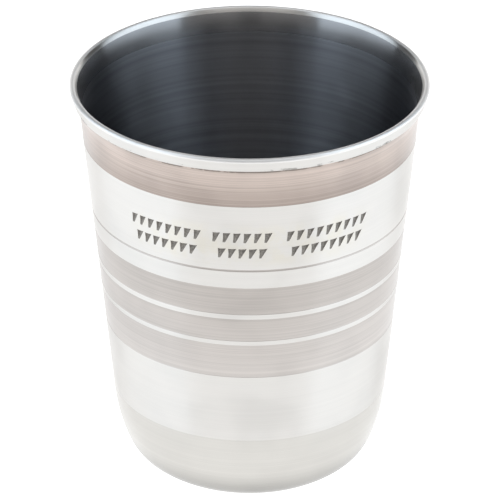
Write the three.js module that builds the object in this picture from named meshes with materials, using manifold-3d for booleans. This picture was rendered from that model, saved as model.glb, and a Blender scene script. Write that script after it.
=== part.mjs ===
// Kiddush cup: a small tumbler spun from stainless sheet, with a rounded foot, a straight tapering wall, a flared and
// hemmed lip, a turned line, and three groups of shallow chisel strokes on its upper band. Millimetres, +Z up, origin
// at the middle of the underside. The front of the cup, with the strokes, faces -Y.
import * as THREE from "three";
import { mergeVertices } from "three/addons/utils/BufferGeometryUtils.js";
import Module from "manifold-3d";

const { degToRad, lerp } = THREE.MathUtils;

// Overall sizes
const HEIGHT = 80; // table to the top of the lip
const SHEET = 0.6; // thickness of the steel, floor and wall alike
const FACETS = 72; // flats round the cup

// Foot and wall. The outside leaves the flat foot in three arcs, each carrying on from the last, and runs into the
// straight wall. A slope is the angle of the outline above the horizontal.
const FOOT_RADIUS = 12.8; // the flat that the cup stands on
const BODY_ARCS = [
  { radius: 13.5, slope: degToRad(41), steps: 5 }, // up off the table
  { radius: 7.5, slope: degToRad(67.2), steps: 4 }, // the round of the foot
  { radius: 33.2, slope: degToRad(84.3), steps: 3 }, // into the wall
];

// Lip. The sheet flares out above the wall, turns over the crown and comes down again over its own outside.
const LIP_RADIUS = 33.8; // widest point, just under the top
const CROWN_RADIUS = 0.56; // the round over the top
const CROWN_STEPS = 7;
const FLARE_HEIGHT = 75.3; // where the inside of the wall starts to flare
const HEM_BOTTOM = 77.33; // lower edge of the turned-down sheet
const HEM_SLOPE = degToRad(74); // of the hem's outer face
const HEM_EDGE = 0.25; // round at the hem's lower edge
const HEM_STEPS = 3;

// The turned line below the strokes, a fine V
const LINE_HEIGHT = 55.28;
const LINE_WIDTH = 0.5;
const LINE_DEPTH = 0.12;

// Chisel strokes, in three groups of two rows round the front. Angles run round the cup from the front, to the right.
const STROKE_DEPTH = 0.2;
const STROKE_PITCH = degToRad(3.6);
const STROKE_LEAN = degToRad(16);
const STROKE_HEAD = 1.2; // width at the upper end
const STROKE_TAIL = 0.55; // width at the lower end
const STROKE_ROWS = [
  { height: 62.45, length: 3.4, fewer: 0 },
  { height: 59.05, length: 2.1, fewer: 1 }, // each stands between two of the row above
];
const STROKE_GROUPS = [
  { middle: degToRad(-31.3), count: 8 },
  { middle: degToRad(-3), count: 6 },
  { middle: degToRad(28.2), count: 9 },
];
const CUTTER_CLEARANCE = 1; // how far a cutter stands out of the wall

const point = (radius, height) => new THREE.Vector2(radius, height);

// Adds to the outline an arc that turns left from one slope to another, carrying on from its last point.
function turnLeft(outline, radius, from, to, steps) {
  const start = outline.at(-1);
  for (let i = 1; i <= steps; i++) {
    const slope = lerp(from, to, i / steps);
    outline.push(
      point(
        start.x + radius * (Math.sin(slope) - Math.sin(from)),
        start.y + radius * (Math.cos(from) - Math.cos(slope)),
      ),
    );
  }
}

// The radius that a straight line through a point, at a slope, has at a height.
const radiusAt = (from, slope, height) => from.x + (height - from.y) / Math.tan(slope);

// Where two straight lines, each through a point at a slope, meet.
function meet(a, slopeA, b, slopeB) {
  const leanA = 1 / Math.tan(slopeA);
  const leanB = 1 / Math.tan(slopeB);
  const height = (b.x - a.x + a.y * leanA - b.y * leanB) / (leanA - leanB);
  return point(radiusAt(a, slopeA, height), height);
}

// The foot and its arcs, a given depth inside the outer surface, from the axis up to the start of the wall.
function footOutline(depth) {
  const outline = [point(0, depth), point(FOOT_RADIUS, depth)];
  let from = 0;
  for (const { radius, slope, steps } of BODY_ARCS) {
    turnLeft(outline, radius - depth, from, slope, steps);
    from = slope;
  }
  return outline;
}

const WALL_SLOPE = BODY_ARCS.at(-1).slope;
const WALL_START = footOutline(0).at(-1);
const wallRadius = (height) => radiusAt(WALL_START, WALL_SLOPE, height);

// The whole section: up the outside, over the lip and down the inside, from the axis back to the axis.
function cupSection() {
  const outside = footOutline(0);
  const inside = footOutline(SHEET);

  // The inside of the flare starts at the wall and touches the round of the crown.
  const crown = point(LIP_RADIUS - CROWN_RADIUS, HEIGHT - CROWN_RADIUS);
  const crease = point(radiusAt(inside.at(-1), WALL_SLOPE, FLARE_HEIGHT), FLARE_HEIGHT);
  const toCrown = crown.clone().sub(crease);
  const flareSlope = toCrown.angle() + Math.asin(CROWN_RADIUS / toCrown.length());
  inside.push(crease);

  // Outside, the wall meets the back of the flare, which runs up under the hem.
  const flareBack = point(
    crease.x + SHEET * Math.sin(flareSlope),
    crease.y - SHEET * Math.cos(flareSlope),
  );
  outside.push(
    point(wallRadius(LINE_HEIGHT - LINE_WIDTH / 2), LINE_HEIGHT - LINE_WIDTH / 2),
    point(wallRadius(LINE_HEIGHT) - LINE_DEPTH, LINE_HEIGHT),
    point(wallRadius(LINE_HEIGHT + LINE_WIDTH / 2), LINE_HEIGHT + LINE_WIDTH / 2),
    meet(WALL_START, WALL_SLOPE, flareBack, flareSlope),
    point(radiusAt(flareBack, flareSlope, HEM_BOTTOM), HEM_BOTTOM),
  );

  // The hem's lower edge, its outer face, and the crown. Each arc ends where the next straight starts.
  const crownStart = point(
    crown.x + CROWN_RADIUS * Math.sin(HEM_SLOPE),
    crown.y - CROWN_RADIUS * Math.cos(HEM_SLOPE),
  );
  const edgeRise = HEM_EDGE * (1 - Math.cos(HEM_SLOPE));
  const edgeRun = HEM_EDGE * Math.sin(HEM_SLOPE);
  const faceFoot = radiusAt(crownStart, HEM_SLOPE, HEM_BOTTOM + edgeRise);
  outside.push(point(faceFoot - edgeRun, HEM_BOTTOM));
  turnLeft(outside, HEM_EDGE, 0, HEM_SLOPE, HEM_STEPS);
  outside.push(crownStart);
  turnLeft(outside, CROWN_RADIUS, HEM_SLOPE, Math.PI + flareSlope, CROWN_STEPS);

  return [...outside, ...inside.reverse()];
}

// A closed mesh as a manifold-3d solid, and back.
const wasm = await Module();
wasm.setup();

function toSolid(geometry) {
  const bare = geometry.clone();
  bare.deleteAttribute("normal");
  bare.deleteAttribute("uv");
  const merged = mergeVertices(bare, 1e-4);
  return new wasm.Manifold(
    new wasm.Mesh({
      numProp: 3,
      vertProperties: merged.attributes.position.array,
      triVerts: new Uint32Array(merged.index.array),
    }),
  );
}

function toGeometry(solid) {
  const { vertProperties, triVerts } = solid.getMesh();
  const geometry = new THREE.BufferGeometry();
  geometry.setAttribute("position", new THREE.BufferAttribute(vertProperties, 3));
  geometry.setIndex(new THREE.BufferAttribute(triVerts, 1));
  geometry.computeVertexNormals();
  return geometry;
}

// A leaning wedge, wide at its upper end, that cuts one stroke into the wall.
function strokeCutter(angle, height, length) {
  const slide = (length / 2) * Math.tan(STROKE_LEAN);
  const outline = new THREE.Shape([
    point(-slide - STROKE_TAIL / 2, -length / 2),
    point(-slide + STROKE_TAIL / 2, -length / 2),
    point(slide + STROKE_HEAD / 2, length / 2),
    point(slide - STROKE_HEAD / 2, length / 2),
  ]);
  const cutter = new THREE.ExtrudeGeometry(outline, {
    depth: STROKE_DEPTH + CUTTER_CLEARANCE,
    bevelEnabled: false,
  });
  cutter.translate(0, 0, -STROKE_DEPTH);
  cutter.rotateX(Math.PI - WALL_SLOPE); // leans as the wall does, facing -Y
  cutter.translate(0, -wallRadius(height), height);
  cutter.rotateZ(angle);
  return cutter;
}

function strokeCutters() {
  return STROKE_GROUPS.flatMap(({ middle, count }) =>
    STROKE_ROWS.flatMap(({ height, length, fewer }) => {
      const inRow = count - fewer;
      const first = middle - ((inRow - 1) / 2) * STROKE_PITCH;
      return Array.from({ length: inRow }, (_, i) =>
        strokeCutter(first + i * STROKE_PITCH, height, length),
      );
    }),
  );
}

function cupGeometry() {
  const turned = new THREE.LatheGeometry(cupSection(), FACETS).rotateX(Math.PI / 2);
  const whole = toSolid(turned);
  return toGeometry(strokeCutters().reduce((cup, cutter) => cup.subtract(toSolid(cutter)), whole));
}

const steel = new THREE.MeshStandardMaterial({ color: 0xdcdad6, roughness: 0.32, metalness: 1 });
const cup = new THREE.Mesh(cupGeometry(), steel);
cup.name = "cup";

const kiddushCup = new THREE.Group();
kiddushCup.add(cup);

export default kiddushCup;
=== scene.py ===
"""A stainless kiddush cup: the fine spun body, its chisel strokes, its finishes, and a plain studio.

The sizes are in metres, in the frame of the cup's CAD model: +Z up, the origin at the middle of the
underside, and the front of the cup, with its strokes, facing -Y.
"""

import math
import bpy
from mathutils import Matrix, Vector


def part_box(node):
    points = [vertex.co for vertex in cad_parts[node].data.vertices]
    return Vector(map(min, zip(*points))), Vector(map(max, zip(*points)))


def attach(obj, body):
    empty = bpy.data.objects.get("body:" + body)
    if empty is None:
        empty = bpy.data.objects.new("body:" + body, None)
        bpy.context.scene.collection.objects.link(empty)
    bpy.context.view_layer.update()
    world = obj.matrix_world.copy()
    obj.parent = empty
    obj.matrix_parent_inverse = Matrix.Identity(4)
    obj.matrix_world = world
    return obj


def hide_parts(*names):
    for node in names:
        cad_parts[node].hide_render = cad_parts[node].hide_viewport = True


bl_info = {
    "name": "Kiddush Cup",
    "version": (1, 0, 0),
    "blender": (4, 5, 0),
    "location": "3D View > Sidebar > Kiddush Cup",
    "description": "Spins a stainless kiddush cup, cuts its strokes, finishes its steel and lights it",
    "category": "Add Mesh",
}

from collections import namedtuple

import bmesh
import bpy
from bpy.props import FloatProperty, FloatVectorProperty, IntProperty, PointerProperty
from bpy.types import Operator, Panel, PropertyGroup
from mathutils import Matrix, Vector

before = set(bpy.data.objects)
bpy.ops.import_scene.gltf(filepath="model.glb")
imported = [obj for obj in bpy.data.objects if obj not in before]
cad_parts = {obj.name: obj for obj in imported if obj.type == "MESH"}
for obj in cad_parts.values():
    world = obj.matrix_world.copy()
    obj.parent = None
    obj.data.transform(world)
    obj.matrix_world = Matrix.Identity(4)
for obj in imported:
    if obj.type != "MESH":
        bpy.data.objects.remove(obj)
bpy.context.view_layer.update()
CUP_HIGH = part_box("cup")[1]

MM = 0.001
CUP_NAME = "kiddush_cup"


def length(name, description, default):
    """A property for a length in metres."""
    return FloatProperty(name=name, description=description, default=default, unit="LENGTH", precision=5)


def angle(name, description, degrees):
    """A property for an angle, given here in degrees."""
    default = math.radians(degrees)
    return FloatProperty(name=name, description=description, default=default, subtype="ANGLE")


def share(name, description, default):
    """A property for a share of a whole."""
    return FloatProperty(name=name, description=description, default=default, min=0, max=1)


def radiance(name, description, default):
    """A property for how brightly a light or a lit surface shows."""
    return FloatProperty(name=name, description=description, default=default, min=0)


def colour(name, description, default):
    """A property for a colour, in linear light."""
    return FloatVectorProperty(
        name=name, description=description, default=default, subtype="COLOR", min=0, max=1
    )


class CupSizes(PropertyGroup):
    """The turned section of the cup."""

    height: length("Height", "Table to the top of the lip", CUP_HIGH[2])
    lip_radius: length("Lip radius", "Widest point, just under the top", CUP_HIGH[0])
    sheet: length("Sheet", "Thickness of the steel", 0.6 * MM)
    foot_radius: length("Foot radius", "The flat that the cup stands on", 12.8 * MM)
    toe_radius: length("Toe radius", "Arc up off the table", 13.5 * MM)
    toe_slope: angle("Toe slope", "Slope where the toe arc ends", 41)
    heel_radius: length("Heel radius", "Arc round the foot", 7.5 * MM)
    heel_slope: angle("Heel slope", "Slope where the heel arc ends", 67.2)
    shin_radius: length("Shin radius", "Arc from the foot into the wall", 33.2 * MM)
    wall_slope: angle("Wall slope", "Slope of the straight wall above the horizontal", 84.3)
    crown_radius: length("Crown radius", "The round over the top of the lip", 0.56 * MM)
    shoulder_radius: length("Shoulder radius", "The softer round from the crown down into the lip", 2.2 * MM)
    shoulder_top: angle("Shoulder top", "Slope where the crown passes into the shoulder", 46)
    shoulder_foot: angle("Shoulder foot", "Slope where the shoulder passes into the flare", 68)
    shoulder_drop: length("Shoulder drop", "Top of the lip down to the foot of the shoulder", 0.9 * MM)
    flare_height: length("Flare height", "Where the inside of the wall starts to flare", 75.3 * MM)
    hem_bottom: length("Hem bottom", "Lower edge of the turned-down sheet", 77.33 * MM)
    hem_slope: angle("Hem slope", "Slope of the hem's outer face", 74)
    hem_edge: length("Hem edge", "Round at the hem's lower edge", 0.2 * MM)
    steps: IntProperty(name="Steps", description="Steps round the cup", default=384, min=32)


class BandSizes(PropertyGroup):
    """Heights of the finish bands, and the small relief at their borders."""

    foot_top: length("Foot top", "Top of the satin foot", 17.14 * MM)
    broad_bottom: length("Broad band bottom", "Lower border of the broad satin band", 31.58 * MM)
    low_line_bottom: length("Low line bottom", "Lower edge of the low bright line", 38.77 * MM)
    low_line_top: length("Low line top", "Upper edge of the low bright line", 39.71 * MM)
    high_line_bottom: length("High line bottom", "Lower edge of the high bright line", 44.52 * MM)
    high_line_top: length("High line top", "Upper edge of the high bright line", 45.62 * MM)
    broad_top: length("Broad band top", "Upper border of the broad satin band", 51.49 * MM)
    groove_height: length("Groove height", "The turned line", 55.28 * MM)
    groove_width: length("Groove width", "Width of the turned line", 0.45 * MM)
    groove_depth: length("Groove depth", "Depth of the turned line", 0.07 * MM)
    neck_bottom: length("Neck band bottom", "Lower border of the satin band under the lip", 69.22 * MM)
    recess: length("Recess", "How far satin lies below polished steel", 0.03 * MM)
    border: length("Border", "Height of the small slope between the two", 0.08 * MM)
    foot_line: length("Foot line", "Depth of the faint line at the top of the foot", 0.01 * MM)


class StrokeSizes(PropertyGroup):
    """The shallow chisel strokes, in three groups of two rows."""

    depth: length("Depth", "Deepest point of a stroke", 0.2 * MM)
    pitch: angle("Pitch", "Angle from one stroke to the next", 3.6)
    lean: angle("Lean", "How far a stroke leans to the right", 16)
    head: length("Head", "Width at the upper end", 1.2 * MM)
    tail: length("Tail", "Width at the lower end", 0.55 * MM)
    taper: share("Taper", "How much narrower a stroke is at its floor", 0.3)
    tall_height: length("Tall row height", "Middle of the row of tall strokes", 62.45 * MM)
    tall_length: length("Tall stroke", "Length of a tall stroke", 3.4 * MM)
    short_height: length("Short row height", "Middle of the row of short strokes", 59.05 * MM)
    short_length: length("Short stroke", "Length of a short stroke", 2.1 * MM)


class SteelColours(PropertyGroup):
    """Colours of the cup's finishes, with painted shade low on the foot and in the seam under the lip."""

    polished: colour("Polished", "Polished wall and hem", (0.675, 0.655, 0.627))
    lip: colour("Lip", "Round over the top of the lip", (0.76, 0.74, 0.72))
    # Foot, low: the foot's satin darkened with painted shade, where the foot meets the table.
    foot_shaded_low: colour("Foot, low", "Fine satin where the foot meets the table", (0.29, 0.28, 0.262))
    foot_high: colour("Foot, high", "Fine satin at the top of the foot", (0.575, 0.555, 0.52))
    satin_low: colour("Satin, low", "Lower edge of the broad satin band", (0.53, 0.493, 0.465))
    satin_high: colour("Satin, high", "Upper edge of the broad satin band", (0.45, 0.414, 0.386))
    neck_low: colour("Neck, low", "Lower edge of the satin band under the lip", (0.355, 0.293, 0.258))
    neck_high: colour("Neck, high", "Upper edge of the satin band under the lip", (0.495, 0.415, 0.37))
    flare_low: colour("Flare, low", "Inside of the lip, at the crease", (0.385, 0.385, 0.39))
    flare_high: colour("Flare, high", "Inside of the lip, higher up", (0.285, 0.28, 0.28))
    bowl: colour("Bowl", "Inside of the cup", (0.322, 0.326, 0.345))
    patina: colour("Patina", "Darkened steel in the strokes", (0.235, 0.215, 0.19))
    # Grime: dirt in specks on the hem's edge, and in the seam under the lip dirt together with painted shade
    # of the hem.
    grime_and_seam_shade: colour("Grime", "What has settled in the seam under the lip", (0.13, 0.115, 0.095))
    stain: colour("Stain", "Faint tarnish round the strokes", (1.0, 0.985, 0.93))


class StageSizes(PropertyGroup):
    """Camera, floor and lights."""

    camera_distance: length("Camera distance", "Lens to the middle of the lip", 0.91282)
    camera_aside: length("Camera aside", "How far the lens stands to the right of the axis", 0.07 * MM)
    camera_height: angle("Camera height", "Angle of the lens above the lip", 25.568)
    camera_tilt: angle("Camera tilt", "How far the lens looks down", 27.569)
    lens: FloatProperty(name="Lens", description="Focal length in mm on a 36 mm frame", default=350.6)
    floor_size: length("Floor size", "Side of the square floor", 6.0)
    panel_distance: length("Panel distance", "Side panels to the cup's axis", 0.6)
    floor_glow: radiance("Floor glow", "Light that the floor gives off", 1.08)
    back_light: radiance("Back light", "Radiance of the back panel", 1.2)
    world: radiance("Room light", "Brightness of the room", 0.08)
    side_light: radiance("Side light", "Radiance of the side panels", 1.8)
    front_light: radiance("Front light", "Radiance of the two low front panels", 0.15)
    high_light: radiance("High light", "Radiance of the high front panel", 0.42)
    top_light: radiance("Top light", "Radiance of the top panel", 0.8)


# The section of the cup

def turn_left(outline, radius, start, end, steps):
    """Carries an outline on by an arc that turns left from one slope to another."""
    x, z = outline[-1]
    for i in range(1, steps + 1):
        slope = start + (end - start) * i / steps
        outline.append(
            (
                x + radius * (math.sin(slope) - math.sin(start)),
                z + radius * (math.cos(start) - math.cos(slope)),
            )
        )


def run_straight(outline, end, longest=1.5 * MM):
    """Carries an outline on to a point, in equal runs no longer than a given length."""
    start = Vector(outline[-1])
    end = Vector(end)
    runs = max(1, math.ceil((end - start).length / longest))
    outline.extend(tuple(start.lerp(end, i / runs)) for i in range(1, runs + 1))


def radius_at(point, slope, height):
    """The radius that a straight line through a point, at a slope, has at a height."""
    return point[0] + (height - point[1]) / math.tan(slope)


def meet(a, slope_a, b, slope_b):
    """Where two straight lines, each through a point at a slope, meet."""
    lean_a = 1 / math.tan(slope_a)
    lean_b = 1 / math.tan(slope_b)
    height = (b[0] - a[0] + a[1] * lean_a - b[1] * lean_b) / (lean_a - lean_b)
    return radius_at(a, slope_a, height), height


def foot_outline(cup, depth):
    """The foot and its three arcs up to the start of the wall, a given depth inside the outer surface."""
    outline = [(0, depth)]
    run_straight(outline, (cup.foot_radius, depth))
    turn_left(outline, cup.toe_radius - depth, 0, cup.toe_slope, steps=14)
    turn_left(outline, cup.heel_radius - depth, cup.toe_slope, cup.heel_slope, steps=10)
    turn_left(outline, cup.shin_radius - depth, cup.heel_slope, cup.wall_slope, steps=8)
    return outline


def flare(cup):
    """The crown's centre, the crease where the inside flares, and the slope of the line that joins them."""
    crown = Vector((cup.lip_radius - cup.crown_radius, cup.height - cup.crown_radius))
    wall_start = foot_outline(cup, cup.sheet)[-1]
    crease = Vector((radius_at(wall_start, cup.wall_slope, cup.flare_height), cup.flare_height))
    to_crown = crown - crease
    slope = math.atan2(to_crown.y, to_crown.x) + math.asin(cup.crown_radius / to_crown.length)
    return crown, crease, slope


def shoulder_outline(cup, crown_end):
    """Down the shoulder from the end of the crown, then on by one long arc to the crease."""
    outline = [tuple(crown_end)]
    top = math.pi + cup.shoulder_top
    foot = math.pi + cup.shoulder_foot
    turn_left(outline, cup.shoulder_radius, top, foot, steps=8)
    to_crease = flare(cup)[1] - Vector(outline[-1])
    chord_slope = math.atan2(to_crease.y, to_crease.x) % math.tau
    turn = 2 * (chord_slope - foot)
    long_radius = to_crease.length / (2 * math.sin(turn / 2))
    turn_left(outline, long_radius, foot, foot + turn, steps=8)
    return outline


def outside_outline(cup, bands):
    """Up the outside from the axis: foot, wall with its bands and groove, back of the flare, hem, crown."""
    outline = foot_outline(cup, 0)
    wall_start = outline[-1]

    def on_wall(height, depth=0.0):
        return radius_at(wall_start, cup.wall_slope, height) - depth, height

    def to_border(height, depth_below, depth_above):
        run_straight(outline, on_wall(height - bands.border / 2, depth_below))
        outline.append(on_wall(height + bands.border / 2, depth_above))

    run_straight(outline, on_wall(bands.foot_top - bands.border))
    outline.append(on_wall(bands.foot_top, bands.foot_line))
    outline.append(on_wall(bands.foot_top + bands.border))
    to_border(bands.broad_bottom, 0, bands.recess)
    to_border(bands.low_line_bottom, bands.recess, 0)
    to_border(bands.low_line_top, 0, bands.recess)
    to_border(bands.high_line_bottom, bands.recess, 0)
    to_border(bands.high_line_top, 0, bands.recess)
    to_border(bands.broad_top, bands.recess, 0)
    run_straight(outline, on_wall(bands.groove_height - bands.groove_width / 2))
    outline.append(on_wall(bands.groove_height, bands.groove_depth))
    outline.append(on_wall(bands.groove_height + bands.groove_width / 2))
    to_border(bands.neck_bottom, 0, bands.recess)

    crown, crease, slope = flare(cup)
    back = crease + cup.sheet * Vector((math.sin(slope), -math.cos(slope)))
    run_straight(outline, meet(on_wall(cup.height, bands.recess), cup.wall_slope, back, slope))
    run_straight(outline, (radius_at(back, slope, cup.hem_bottom), cup.hem_bottom), longest=0.4 * MM)

    crown_start = crown + cup.crown_radius * Vector((math.sin(cup.hem_slope), -math.cos(cup.hem_slope)))
    edge_rise = cup.hem_edge * (1 - math.cos(cup.hem_slope))
    edge_run = cup.hem_edge * math.sin(cup.hem_slope)
    face_foot = radius_at(crown_start, cup.hem_slope, cup.hem_bottom + edge_rise)
    outline.append((face_foot - edge_run, cup.hem_bottom))
    turn_left(outline, cup.hem_edge, 0, cup.hem_slope, steps=14)
    run_straight(outline, crown_start, longest=0.5 * MM)
    turn_left(outline, cup.crown_radius, cup.hem_slope, math.pi + cup.shoulder_top, steps=34)
    return outline


def inside_outline(cup, crown_end):
    """Up the inside from the axis: floor, wall, flare, and the shoulder to where the crown ends."""
    outline = foot_outline(cup, cup.sheet)
    run_straight(outline, flare(cup)[1])
    outline.extend(reversed(shoulder_outline(cup, crown_end)[:-1]))
    return outline


# The spun body

FINISHES = ("polished", "satin", "neck", "foot", "lip", "flare", "bowl")
DOUBLINGS = 5  # the body is spun as a sector, which is then doubled until it goes all the way round
SEAM = 0.01 * MM  # how far below the hem's edge the neck's finish ends


def spin_outline(bm, outline, sector, steps):
    """Turns an outline round a sector of the cup, and gives the faces that it makes."""
    before = set(bm.faces)
    verts = [bm.verts.new((radius, 0, height)) for radius, height in outline]
    edges = [bm.edges.new(pair) for pair in zip(verts, verts[1:])]
    bmesh.ops.spin(bm, geom=verts + edges, cent=(0, 0, 0), axis=(0, 0, 1), angle=sector, steps=steps)
    return [face for face in bm.faces if face not in before]


def outside_finish(height, cup, bands):
    """The finish of the outside at a height."""
    crown_foot = cup.height - 1.5 * cup.crown_radius
    tops = (
        (bands.foot_top, "foot"),
        (bands.broad_bottom, "polished"),
        (bands.low_line_bottom, "satin"),
        (bands.low_line_top, "polished"),
        (bands.high_line_bottom, "satin"),
        (bands.high_line_top, "polished"),
        (bands.broad_top, "satin"),
        (bands.groove_height - bands.groove_width / 2, "polished"),
        (bands.groove_height + bands.groove_width / 2, "satin"),
        (bands.neck_bottom, "polished"),
        (cup.hem_bottom - SEAM, "neck"),
        (crown_foot, "polished"),
    )
    return next((finish for top, finish in tops if height < top), "lip")


def inside_finish(height, cup):
    """The finish of the inside at a height."""
    if height < cup.flare_height:
        return "bowl"
    return "flare" if height < cup.height - cup.shoulder_drop else "polished"


def spun_mesh(cup, bands):
    """The whole cup as one closed mesh, with each face given its finish."""
    bm = bmesh.new()
    sector = math.tau / 2**DOUBLINGS
    steps = cup.steps // 2**DOUBLINGS
    outside = outside_outline(cup, bands)
    for face in spin_outline(bm, outside, sector, steps):
        face.material_index = FINISHES.index(outside_finish(face.calc_center_median().z, cup, bands))
    for face in spin_outline(bm, inside_outline(cup, outside[-1]), sector, steps):
        face.material_index = FINISHES.index(inside_finish(face.calc_center_median().z, cup))
    for doubling in range(DOUBLINGS):
        copied = bmesh.ops.duplicate(bm, geom=bm.verts[:] + bm.edges[:] + bm.faces[:])["geom"]
        verts = [part for part in copied if isinstance(part, bmesh.types.BMVert)]
        turn = Matrix.Rotation(sector * 2**doubling, 3, "Z")
        bmesh.ops.rotate(bm, verts=verts, cent=(0, 0, 0), matrix=turn)
    bmesh.ops.remove_doubles(bm, verts=bm.verts, dist=0.001 * MM)
    bmesh.ops.recalc_face_normals(bm, faces=bm.faces)
    mesh = bpy.data.meshes.new(CUP_NAME)
    bm.to_mesh(mesh)
    bm.free()
    return mesh


# The chisel strokes

STROKE_GROUPS = ((-31.3, 8), (-3.0, 6), (28.2, 9))  # the middle, in degrees, and how many tall strokes
SHARP_EDGE = math.radians(8)


def stroke_places(strokes):
    """The angle, height and length of each stroke. Short ones stand between two tall ones."""
    rows = (
        (strokes.tall_height, strokes.tall_length, 0),
        (strokes.short_height, strokes.short_length, 1),
    )
    for middle, count in STROKE_GROUPS:
        for height, long, fewer in rows:
            in_row = count - fewer
            first = math.radians(middle) - (in_row - 1) / 2 * strokes.pitch
            for i in range(in_row):
                yield first + i * strokes.pitch, height, long


def add_cutter(bm, cup, strokes, around, height, long):
    """A leaning wedge with sloping sides, half of it in the wall, that cuts one stroke."""
    verts = bmesh.ops.create_cube(bm, size=1)["verts"]
    inner = [v for v in verts if v.co.y > 0]
    outer = [v for v in verts if v.co.y < 0]
    tail = [v for v in verts if v.co.z < 0]
    end_taper = strokes.taper / 3
    bmesh.ops.scale(bm, vec=(strokes.head, 2 * strokes.depth, long), verts=verts)
    bmesh.ops.scale(bm, vec=(1 - strokes.taper, 1, 1 - end_taper), verts=inner)
    bmesh.ops.scale(bm, vec=(1 + strokes.taper, 1, 1 + end_taper), verts=outer)
    bmesh.ops.scale(bm, vec=(strokes.tail / strokes.head, 1, 1), verts=tail)
    shear = Matrix.Identity(4)
    shear[0][2] = math.tan(strokes.lean)
    lean_back = Matrix.Rotation(cup.wall_slope - math.pi / 2, 4, "X")
    wall_start = foot_outline(cup, 0)[-1]
    place = Matrix.Translation((0, -radius_at(wall_start, cup.wall_slope, height), height))
    turn = Matrix.Rotation(around, 4, "Z")
    bmesh.ops.transform(bm, matrix=turn @ place @ lean_back @ shear, verts=verts)


def cut(target, cutter_mesh):
    """Cuts one mesh out of an object, for good. The cut faces keep the cutter's material."""
    cutter = bpy.data.objects.new("cutter", cutter_mesh)
    bpy.context.scene.collection.objects.link(cutter)
    difference = target.modifiers.new("strokes", "BOOLEAN")
    difference.operation = "DIFFERENCE"
    difference.solver = "MANIFOLD"
    difference.material_mode = "TRANSFER"
    difference.object = cutter
    shown = target.evaluated_get(bpy.context.evaluated_depsgraph_get())
    mesh = bpy.data.meshes.new_from_object(shown)
    target.modifiers.clear()
    target.data = mesh
    bpy.data.objects.remove(cutter)


# Materials

# What turning does to a finish: how far marks, rings and smudges lighten and darken it, and how many
# marks, arcs and rings there are to a metre.
Turning = namedtuple("Turning", "marks_tone rings_tone smudges_tone marks arcs rings")
# How a finish takes the light. Scratched is how deep its scratches are, against its marks.
Gloss = namedtuple("Gloss", "roughness anisotropy bump scratched metallic coat", defaults=(0.8, 1.0, 0.0))
# Dirt in a band round the cup, with painted shade where it lies just under the hem: its middle height, how
# far it reaches, how scarce it is, and its colour.
DirtAndShade = namedtuple("DirtAndShade", "middle reach scarcity colour")
# Tarnish on the front of the cup: its middle height and its colour.
Stain = namedtuple("Stain", "middle colour")

QUARTER_TURN = 0.25  # stretches the gloss up and down the wall
COAT_ROUGHNESS = 0.2
SMUDGE_DULLING = 0.04  # how much rougher a smudge is
DIRT_AND_SHADE_PATCHES = 420.0  # to a metre
DIRT_AND_SHADE_EDGE = 0.12  # how softly a patch of dirt and painted shade begins
# The most that the dirt and painted shade cover the steel's own tone.
DIRT_AND_SHADE_COVER = 0.65
DIRT_DULLING = 0.3  # how much rougher the thickest dirt is
STAIN_CLOUDS = 260.0  # to a metre
STAIN_REACH = (2.5 * MM, 5.5 * MM)  # from full to none, up and down
STAIN_FRONT = (-26 * MM, -20 * MM)  # from full to none, along Y
FOOT_SHADE = (2 * MM, 9.5 * MM)  # heights over which the painted shade on the foot's lower edge fades out
SCRATCH_STRETCH = (160, 160, 5000)  # makes the noise long and thin
SCRATCH_TURNS = ((0.5, 0.4), (-0.7, 1.3), (0.2, 2.4))  # the tilt and turn of each set of scratches
RIDGE_HEIGHT = 0.01 * MM
PATINA_GRAINS = 2500.0  # to a metre
PATINA_RELIEF = 0.02 * MM


def node(tree, kind, **settings):
    """Adds a node to a tree, with its settings, in the next free place of a grid."""
    column, row = divmod(len(tree.nodes), 5)
    new = tree.nodes.new(kind)
    new.location = (240 * column, -240 * row)
    for name, value in settings.items():
        setattr(new, name, value)
    return new


def feed(tree, socket, value):
    """Gives an input socket another node's output, or a plain value."""
    if isinstance(value, bpy.types.NodeSocket):
        tree.links.new(value, socket)
    else:
        socket.default_value = value


def calc(tree, operation, a, b=0.0):
    """The result of a Math node."""
    new = node(tree, "ShaderNodeMath", operation=operation)
    feed(tree, new.inputs[0], a)
    feed(tree, new.inputs[1], b)
    return new.outputs[0]


def remap(tree, value, low, high, to_low, to_high):
    """A value carried smoothly from one range to another, and held at its ends."""
    new = node(tree, "ShaderNodeMapRange", interpolation_type="SMOOTHSTEP")
    for socket, number in zip(new.inputs[:5], (value, low, high, to_low, to_high)):
        feed(tree, socket, number)
    return new.outputs[0]


def swing(tree, cloudy, reach):
    """Cloudy noise, which lies mostly between 0.3 and 0.7, carried to a swing about 0."""
    return remap(tree, cloudy, 0.3, 0.7, -reach, reach)


def mix(tree, factor, a, b, blend="MIX"):
    """Two colours mixed."""
    new = node(tree, "ShaderNodeMix", data_type="RGBA", blend_type=blend)
    feed(tree, new.inputs["Factor"], factor)
    feed(tree, new.inputs["A"], a)
    feed(tree, new.inputs["B"], b)
    return new.outputs["Result"]


def noise(tree, place, scale=1.0, detail=3.0):
    """Cloudy noise, read at a place."""
    new = node(tree, "ShaderNodeTexNoise")
    feed(tree, new.inputs["Vector"], place)
    feed(tree, new.inputs["Scale"], scale)
    new.inputs["Detail"].default_value = detail
    new.inputs["Roughness"].default_value = 0.6
    return new.outputs["Fac"]


def object_place(tree):
    """The place on the object, and its distances along X, Y and Z."""
    coords = node(tree, "ShaderNodeTexCoord").outputs["Object"]
    split = node(tree, "ShaderNodeSeparateXYZ")
    feed(tree, split.inputs[0], coords)
    return coords, *split.outputs


def away_from(tree, height, middle):
    """How far a height is from a middle height, up or down."""
    return calc(tree, "ABSOLUTE", calc(tree, "SUBTRACT", height, middle))


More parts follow.
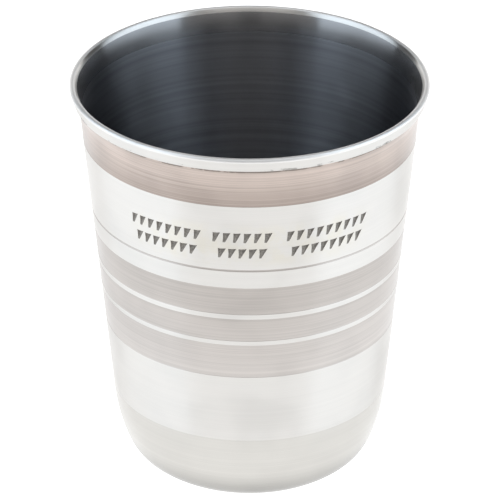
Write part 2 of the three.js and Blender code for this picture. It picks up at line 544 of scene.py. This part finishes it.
def relief(tree, surface, ridges, strength, depth):
    """Raises a pattern on a surface as a bump of a given strength and depth."""
    bump = node(tree, "ShaderNodeBump")
    bump.inputs["Strength"].default_value = strength
    bump.inputs["Distance"].default_value = depth
    feed(tree, bump.inputs["Height"], ridges)
    feed(tree, surface.inputs["Normal"], bump.outputs[0])


def rgba(colour, strength=1.0):
    """A colour property as the four numbers that a colour socket takes."""
    return [min(1.0, strength * channel) for channel in colour] + [1.0]


def new_material(name):
    """An empty material, with its tree and its Principled surface."""
    material = bpy.data.materials.new(name)
    material.use_nodes = True
    tree = material.node_tree
    return material, tree, tree.nodes["Principled BSDF"]


def new_group(name, inputs, outputs):
    """An empty shader node group with number sockets, and its input and output nodes."""
    tree = bpy.data.node_groups.new(name, "ShaderNodeTree")
    for socket, default in inputs:
        made = tree.interface.new_socket(name=socket, in_out="INPUT", socket_type="NodeSocketFloat")
        made.default_value = default
    for socket in outputs:
        tree.interface.new_socket(name=socket, in_out="OUTPUT", socket_type="NodeSocketFloat")
    return tree, node(tree, "NodeGroupInput"), node(tree, "NodeGroupOutput")


def turning_group():
    """What turning leaves on the steel: fine broken marks, and wider rings that run all the way round."""
    tree, given, result = new_group(
        "turning",
        (("Marks per metre", 6000.0), ("Arcs per metre", 14.0), ("Rings per metre", 700.0)),
        ("Marks", "Rings"),
    )
    _, x, y, z = object_place(tree)
    square = calc(tree, "ADD", calc(tree, "MULTIPLY", x, x), calc(tree, "MULTIPLY", y, y))
    travel = calc(tree, "ADD", calc(tree, "SQRT", square), z)
    arcs = node(tree, "ShaderNodeCombineXYZ")
    feed(tree, arcs.inputs[0], calc(tree, "MULTIPLY", x, given.outputs["Arcs per metre"]))
    feed(tree, arcs.inputs[1], calc(tree, "MULTIPLY", y, given.outputs["Arcs per metre"]))
    feed(tree, arcs.inputs[2], calc(tree, "MULTIPLY", travel, given.outputs["Marks per metre"]))
    rings = node(tree, "ShaderNodeCombineXYZ")
    feed(tree, rings.inputs[2], calc(tree, "MULTIPLY", travel, given.outputs["Rings per metre"]))
    feed(tree, result.inputs["Marks"], noise(tree, arcs.outputs[0]))
    feed(tree, result.inputs["Rings"], noise(tree, rings.outputs[0]))
    return tree


def wear_group():
    """What handling leaves on the steel: soft smudges, and fine short scratches that run every way."""
    tree, given, result = new_group(
        "wear", (("Smudges per metre", 70.0), ("Scratch share", 0.3)), ("Smudges", "Scratches")
    )
    coords = node(tree, "ShaderNodeTexCoord").outputs["Object"]
    scarcity = calc(tree, "SUBTRACT", 0.98, given.outputs["Scratch share"])
    scratches = 0.0
    for tilt, turn in SCRATCH_TURNS:
        leaning = node(tree, "ShaderNodeMapping")
        feed(tree, leaning.inputs["Vector"], coords)
        leaning.inputs["Rotation"].default_value = (tilt, tilt * turn, turn)
        leaning.inputs["Scale"].default_value = SCRATCH_STRETCH
        fine = remap(tree, noise(tree, leaning.outputs[0], detail=1), scarcity, 0.8, 0, 1)
        scratches = calc(tree, "MAXIMUM", scratches, fine)
    smudges = noise(tree, coords, given.outputs["Smudges per metre"], detail=2)
    feed(tree, result.inputs["Smudges"], smudges)
    feed(tree, result.inputs["Scratches"], scratches)
    return tree


def soiled_and_shaded(tree, coords, height, dirt_and_shade, tone, rough):
    """The tone and roughness, with dirt gathered over them in patches along a band; just under the hem it is
    painted shade as well.
    """
    patches = noise(tree, coords, DIRT_AND_SHADE_PATCHES, detail=4)
    near = remap(tree, away_from(tree, height, dirt_and_shade.middle), dirt_and_shade.reach / 2, dirt_and_shade.reach, 1, 0)
    patchy_band = calc(tree, "MULTIPLY", near, patches)
    shade = remap(tree, patchy_band, dirt_and_shade.scarcity, dirt_and_shade.scarcity + DIRT_AND_SHADE_EDGE, 0, DIRT_AND_SHADE_COVER)
    duller = calc(tree, "ADD", rough, calc(tree, "MULTIPLY", shade, DIRT_DULLING))
    return mix(tree, shade, tone, rgba(dirt_and_shade.colour)), duller


def stained(tree, coords, y, height, stain, tone):
    """The tone, with cloudy tarnish over it on the front of the cup."""
    at_height = remap(tree, away_from(tree, height, stain.middle), *STAIN_REACH, 1, 0)
    near = calc(tree, "MULTIPLY", at_height, remap(tree, y, *STAIN_FRONT, 1, 0))
    cloudy = remap(tree, noise(tree, coords, STAIN_CLOUDS, detail=4), 0.35, 0.6, 0, 1)
    tarnished = mix(tree, 1.0, tone, rgba(stain.colour), "MULTIPLY")
    return mix(tree, calc(tree, "MULTIPLY", near, cloudy), tone, tarnished)


def steel_material(name, groups, tints, turning, gloss, dirt_and_shade=None, stain=None):
    """Turned steel. Tints are a height and colour low on its band, and a height and colour high on it."""
    material, tree, surface = new_material(name)
    surface.inputs["Metallic"].default_value = gloss.metallic
    surface.inputs["Anisotropic"].default_value = gloss.anisotropy
    surface.inputs["Anisotropic Rotation"].default_value = QUARTER_TURN
    surface.inputs["Coat Weight"].default_value = gloss.coat
    surface.inputs["Coat Roughness"].default_value = COAT_ROUGHNESS
    round_the_cup = node(tree, "ShaderNodeTangent", direction_type="RADIAL", axis="Z")
    feed(tree, surface.inputs["Tangent"], round_the_cup.outputs[0])
    turned = node(tree, "ShaderNodeGroup", node_tree=groups["turning"])
    turned.inputs["Marks per metre"].default_value = turning.marks
    turned.inputs["Arcs per metre"].default_value = turning.arcs
    turned.inputs["Rings per metre"].default_value = turning.rings
    marks, rings = turned.outputs
    smudges, scratches = node(tree, "ShaderNodeGroup", node_tree=groups["wear"]).outputs
    coords, _, y, height = object_place(tree)

    (low, low_colour), (high, high_colour) = tints
    tint = mix(tree, remap(tree, height, low, high, 0, 1), rgba(low_colour), rgba(high_colour))
    light = calc(tree, "ADD", swing(tree, marks, turning.marks_tone), 1.0)
    light = calc(tree, "ADD", light, swing(tree, rings, turning.rings_tone))
    smudged = remap(tree, smudges, 0.35, 0.65, turning.smudges_tone, -turning.smudges_tone)
    light = calc(tree, "ADD", light, smudged)
    grey = node(tree, "ShaderNodeCombineXYZ")
    for socket in grey.inputs:
        feed(tree, socket, light)
    tone = mix(tree, 1.0, tint, grey.outputs[0], "MULTIPLY")
    rough = calc(tree, "ADD", swing(tree, marks, turning.marks_tone / 3), gloss.roughness)
    rough = calc(tree, "ADD", rough, remap(tree, smudges, 0.45, 0.7, 0, SMUDGE_DULLING))
    if dirt_and_shade:
        tone, rough = soiled_and_shaded(tree, coords, height, dirt_and_shade, tone, rough)
    if stain:
        tone = stained(tree, coords, y, height, stain, tone)
    feed(tree, surface.inputs["Base Color"], tone)
    feed(tree, surface.inputs["Roughness"], rough)

    ridges = calc(tree, "ADD", marks, calc(tree, "MULTIPLY", rings, 2.0))
    ridges = calc(tree, "SUBTRACT", ridges, calc(tree, "MULTIPLY", scratches, gloss.scratched))
    relief(tree, surface, ridges, gloss.bump, RIDGE_HEIGHT)
    return material


def cup_materials(colours, cup, bands, strokes):
    """The finishes of the spun body, in the order of FINISHES."""
    groups = {"turning": turning_group(), "wear": wear_group()}

    def plain(colour):
        return (0.0, colour), (cup.height, colour)

    return [
        steel_material(
            "polished steel",
            groups,
            plain(colours.polished),
            Turning(marks_tone=0.015, rings_tone=0.01, smudges_tone=0.015, marks=6000, arcs=14, rings=700),
            Gloss(roughness=0.3, anisotropy=0.95, bump=0.15),
            dirt_and_shade=DirtAndShade(cup.hem_bottom + 0.1 * MM, reach=0.7 * MM, scarcity=0.56, colour=colours.grime_and_seam_shade),
            stain=Stain((strokes.tall_height + strokes.short_height) / 2, colours.stain),
        ),
        steel_material(
            "satin steel",
            groups,
            ((bands.broad_bottom, colours.satin_low), (bands.broad_top, colours.satin_high)),
            Turning(marks_tone=0.08, rings_tone=0.04, smudges_tone=0.03, marks=5000, arcs=14, rings=700),
            Gloss(roughness=0.34, anisotropy=0.8, bump=0.4, coat=0.4),
        ),
        steel_material(
            "neck steel",
            groups,
            ((bands.neck_bottom, colours.neck_low), (cup.flare_height, colours.neck_high)),
            Turning(marks_tone=0.12, rings_tone=0.08, smudges_tone=0.07, marks=5000, arcs=20, rings=900),
            Gloss(roughness=0.34, anisotropy=0.8, bump=0.4, coat=0.5),
            # The dark line just under the hem is dirt together with painted shade of the hem, in patches.
            dirt_and_shade=DirtAndShade(cup.hem_bottom - 0.15 * MM, reach=0.7 * MM, scarcity=0.38, colour=colours.grime_and_seam_shade),
        ),
        steel_material(
            "foot steel",
            groups,
            # The foot darkens towards the table with painted shade, from FOOT_SHADE's upper height down to
            # its lower.
            ((FOOT_SHADE[0], colours.foot_shaded_low), (FOOT_SHADE[1], colours.foot_high)),
            Turning(marks_tone=0.03, rings_tone=0.02, smudges_tone=0.02, marks=6000, arcs=14, rings=700),
            Gloss(roughness=0.3, anisotropy=0.7, bump=0.3, coat=0.4),
        ),
        steel_material(
            "lip steel",
            groups,
            plain(colours.lip),
            Turning(marks_tone=0.03, rings_tone=0.0, smudges_tone=0.05, marks=3000, arcs=14, rings=700),
            Gloss(roughness=0.42, anisotropy=0.0, bump=0.2, metallic=0.75),
        ),
        steel_material(
            "flare steel",
            groups,
            ((cup.flare_height, colours.flare_low), (cup.hem_bottom, colours.flare_high)),
            Turning(marks_tone=0.0, rings_tone=0.05, smudges_tone=0.05, marks=400, arcs=4, rings=500),
            Gloss(roughness=0.24, anisotropy=0.9, bump=0.03, scratched=0.0),
        ),
        steel_material(
            "bowl steel",
            groups,
            plain(colours.bowl),
            Turning(marks_tone=0.0, rings_tone=0.14, smudges_tone=0.05, marks=300, arcs=3, rings=800),
            Gloss(roughness=0.28, anisotropy=0.95, bump=0.02, scratched=0.0),
        ),
    ]


def patina_material(colours):
    """Dull dark steel left in the strokes, mottled and a little lighter where it has rubbed."""
    material, tree, surface = new_material("stroke patina")
    surface.inputs["Metallic"].default_value = 0.1
    coords = node(tree, "ShaderNodeTexCoord").outputs["Object"]
    mottle = noise(tree, coords, PATINA_GRAINS, detail=4)
    rubbed = remap(tree, mottle, 0.35, 0.7, 0, 1)
    tone = mix(tree, rubbed, rgba(colours.patina, 0.8), rgba(colours.patina, 1.25))
    feed(tree, surface.inputs["Base Color"], tone)
    feed(tree, surface.inputs["Roughness"], remap(tree, mottle, 0.3, 0.7, 0.8, 0.6))
    relief(tree, surface, mottle, 0.25, PATINA_RELIEF)
    return material


# Operators

class KIDDUSH_OT_spin_body(Operator):
    """Spin the cup's body, with its lip, bands and turned line"""

    bl_idname = "kiddush.spin_body"
    bl_label = "Spin the Body"

    def execute(self, context):
        scene = context.scene
        body = bpy.data.objects.new(CUP_NAME, spun_mesh(scene.cup_sizes, scene.band_sizes))
        scene.collection.objects.link(body)
        finishes = cup_materials(scene.steel_colours, scene.cup_sizes, scene.band_sizes, scene.stroke_sizes)
        for material in finishes:
            body.data.materials.append(material)
        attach(body, "root")
        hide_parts("cup")
        return {"FINISHED"}


class KIDDUSH_OT_cut_strokes(Operator):
    """Cut the three groups of chisel strokes into the front of the cup"""

    bl_idname = "kiddush.cut_strokes"
    bl_label = "Cut the Strokes"

    def execute(self, context):
        scene = context.scene
        bm = bmesh.new()
        for around, height, long in stroke_places(scene.stroke_sizes):
            add_cutter(bm, scene.cup_sizes, scene.stroke_sizes, around, height, long)
        bmesh.ops.recalc_face_normals(bm, faces=bm.faces)
        cutters = bpy.data.meshes.new("strokes")
        bm.to_mesh(cutters)
        bm.free()
        cutters.materials.append(patina_material(scene.steel_colours))
        body = bpy.data.objects[CUP_NAME]
        cut(body, cutters)
        body.data.shade_smooth()
        body.data.set_sharp_from_angle(angle=SHARP_EDGE)
        return {"FINISHED"}


WHITE = (1, 1, 1)
COOL = (0.78, 0.89, 1)
FLOOR_GAP = 0.05 * MM  # the floor lies this far under the foot, so that the two don't flicker

# A soft rectangular light: its size, where it stands and looks, its radiance and its colour.
Light = namedtuple("Light", "name size place towards radiance tint", defaults=(WHITE,))


def studio_lights(stage):
    """Cool panels at the sides, low ones in front, and one each high in front, behind and above."""
    side = stage.panel_distance
    for name, x in (("left panel", -side), ("right panel", side)):
        yield Light(name, (0.8, 1.2), (x, -0.16, 0.6), (0, -0.16, 0.6), stage.side_light, COOL)
    for name, x in (("left front panel", -0.45), ("right front panel", 0.45)):
        yield Light(name, (0.7, 0.45), (x, -0.8, 0.325), (x, 0, 0.325), stage.front_light)
    yield Light("high front panel", (3.0, 1.0), (0, -1.5, 0.95), (0, 0, 0.95), stage.high_light)
    yield Light("back panel", (1.2, 0.45), (0, 0.7, 0.225), (0, 0, 0.225), stage.back_light)
    yield Light("top panel", (1.2, 1.8), (0, -0.3, 1.45), (0, -0.3, 0), stage.top_light)


def add_light(light):
    """Makes one soft light and turns it to where it looks."""
    lamp = bpy.data.lights.new(light.name, "AREA")
    lamp.shape = "RECTANGLE"
    width, depth = light.size
    lamp.size = width
    lamp.size_y = depth
    lamp.energy = light.radiance * math.pi * width * depth
    lamp.color = light.tint
    panel = bpy.data.objects.new(light.name, lamp)
    panel.location = light.place
    looks = Vector(light.towards) - Vector(light.place)
    panel.rotation_euler = looks.to_track_quat("-Z", "Y").to_euler()
    bpy.context.scene.collection.objects.link(panel)


def floor_mesh(stage):
    """The square floor, in a white that gives off light of its own."""
    bm = bmesh.new()
    bmesh.ops.create_grid(bm, x_segments=1, y_segments=1, size=stage.floor_size / 2)
    bmesh.ops.translate(bm, vec=(0, 0, -FLOOR_GAP), verts=bm.verts)
    mesh = bpy.data.meshes.new("floor")
    bm.to_mesh(mesh)
    bm.free()
    white, _, surface = new_material("floor white")
    surface.inputs["Base Color"].default_value = (0.3, 0.3, 0.3, 1)
    surface.inputs["Roughness"].default_value = 0.8
    surface.inputs["Emission Color"].default_value = (1, 1, 1, 1)
    surface.inputs["Emission Strength"].default_value = stage.floor_glow
    mesh.materials.append(white)
    return mesh


class KIDDUSH_OT_set_stage(Operator):
    """Set the camera, the pale floor and the soft lights"""

    bl_idname = "kiddush.set_stage"
    bl_label = "Set the Stage"

    def execute(self, context):
        scene = context.scene
        stage = scene.stage_sizes
        floor = bpy.data.objects.new("floor", floor_mesh(stage))
        scene.collection.objects.link(floor)

        lens = bpy.data.cameras.new("camera")
        lens.lens = stage.lens
        lens.sensor_width = 36
        lens.clip_end = 20
        camera = bpy.data.objects.new("camera", lens)
        camera.location = (
            stage.camera_aside,
            -stage.camera_distance * math.cos(stage.camera_height),
            scene.cup_sizes.height + stage.camera_distance * math.sin(stage.camera_height),
        )
        camera.rotation_euler = (math.pi / 2 - stage.camera_tilt, 0, 0)
        scene.collection.objects.link(camera)
        scene.camera = camera

        world = bpy.data.worlds.new("room")
        world.use_nodes = True
        world.node_tree.nodes["Background"].inputs["Color"].default_value = (1, 1, 1, 1)
        world.node_tree.nodes["Background"].inputs["Strength"].default_value = stage.world
        scene.world = world

        for light in studio_lights(stage):
            add_light(light)
        scene.view_settings.view_transform = "Standard"
        return {"FINISHED"}


class KIDDUSH_PT_panel(Panel):
    """The cup's sizes, colours and making, in the sidebar"""

    bl_label = "Kiddush Cup"
    bl_space_type = "VIEW_3D"
    bl_region_type = "UI"
    bl_category = "Kiddush Cup"

    def draw(self, context):
        for operator in OPERATORS:
            self.layout.operator(operator.bl_idname)
        for group in PROPERTIES:
            box = self.layout.box()
            values = getattr(context.scene, group)
            for name in values.bl_rna.properties.keys():
                if name not in ("rna_type", "name"):
                    box.prop(values, name)


OPERATORS = (KIDDUSH_OT_spin_body, KIDDUSH_OT_cut_strokes, KIDDUSH_OT_set_stage)
PROPERTIES = {
    "cup_sizes": CupSizes,
    "band_sizes": BandSizes,
    "stroke_sizes": StrokeSizes,
    "steel_colours": SteelColours,
    "stage_sizes": StageSizes,
}


def register():
    for group, kind in PROPERTIES.items():
        bpy.utils.register_class(kind)
        setattr(bpy.types.Scene, group, PointerProperty(type=kind))
    for kind in OPERATORS + (KIDDUSH_PT_panel,):
        bpy.utils.register_class(kind)


def unregister():
    for kind in (KIDDUSH_PT_panel,) + OPERATORS[::-1]:
        bpy.utils.unregister_class(kind)
    for group, kind in reversed(PROPERTIES.items()):
        delattr(bpy.types.Scene, group)
        bpy.utils.unregister_class(kind)


def main():
    """Makes the whole scene."""
    register()
    bpy.ops.kiddush.spin_body()
    bpy.ops.kiddush.cut_strokes()
    bpy.ops.kiddush.set_stage()


if __name__ == "__main__":
    main()
